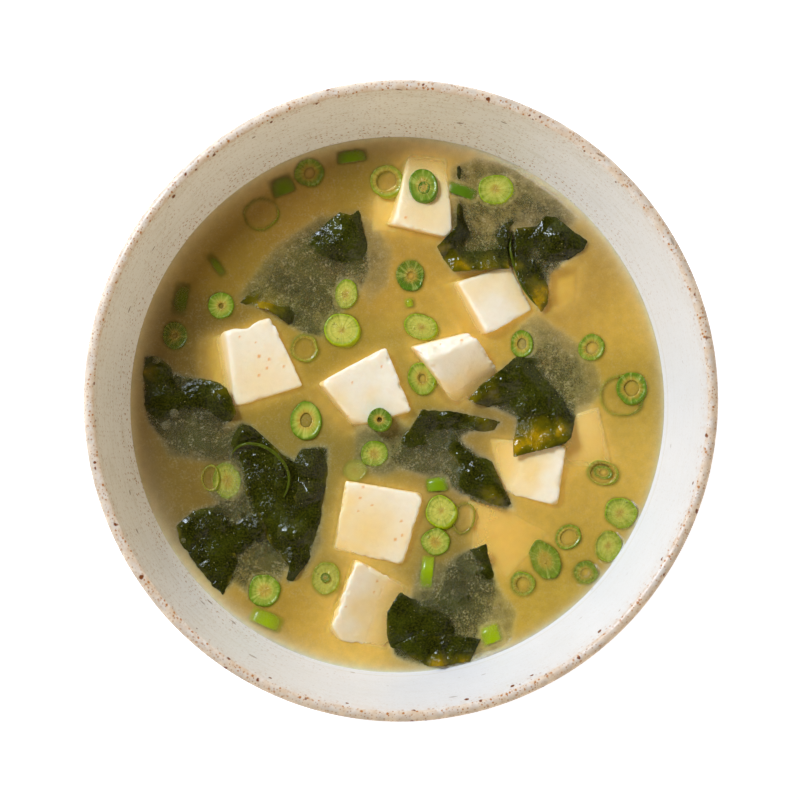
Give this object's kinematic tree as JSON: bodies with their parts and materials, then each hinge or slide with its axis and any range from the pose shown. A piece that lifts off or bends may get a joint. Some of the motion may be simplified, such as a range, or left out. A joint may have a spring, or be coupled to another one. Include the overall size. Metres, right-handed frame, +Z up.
{
  "type": "bowl of miso soup",
  "caption": "Round stoneware bowl on a foot ring, holding miso soup with tofu blocks, wakame leaves and sliced spring onion.",
  "frame": {"origin": "the middle of the bowl's underside, on the plane that the foot ring rests on", "axes": "+Z up out of the bowl; +X to the right and +Y away from the diner, with the toppings as laid out"},
  "size_m": [0.1394, 0.141, 0.0667],
  "materials": {
    "stoneware": "satin white stoneware glaze with fine brown iron specks, thin and brown at the lip",
    "broth": "wet, cloudy golden broth",
    "tofu": "moist cream-white bean curd",
    "wakame": "wet dark green seaweed",
    "scallion": "wet sliced spring onion, pale inside and green at the skin"
  },
  "bodies": {
    "root": {"bowl": "stoneware", "broth": "broth", "tofu_a": "tofu", "tofu_b": "tofu", "tofu_c": "tofu", "tofu_d": "tofu", "tofu_e": "tofu", "tofu_f": "tofu", "tofu_g": "tofu", "tofu_h": "tofu", "wakame_a": "wakame", "wakame_b": "wakame", "wakame_c": "wakame", "wakame_d": "wakame", "wakame_e": "wakame", "wakame_f": "wakame", "wakame_g": "wakame", "wakame_h": "wakame", "wakame_i": "wakame", "wakame_j": "wakame"}
  },
  "joints": []
}
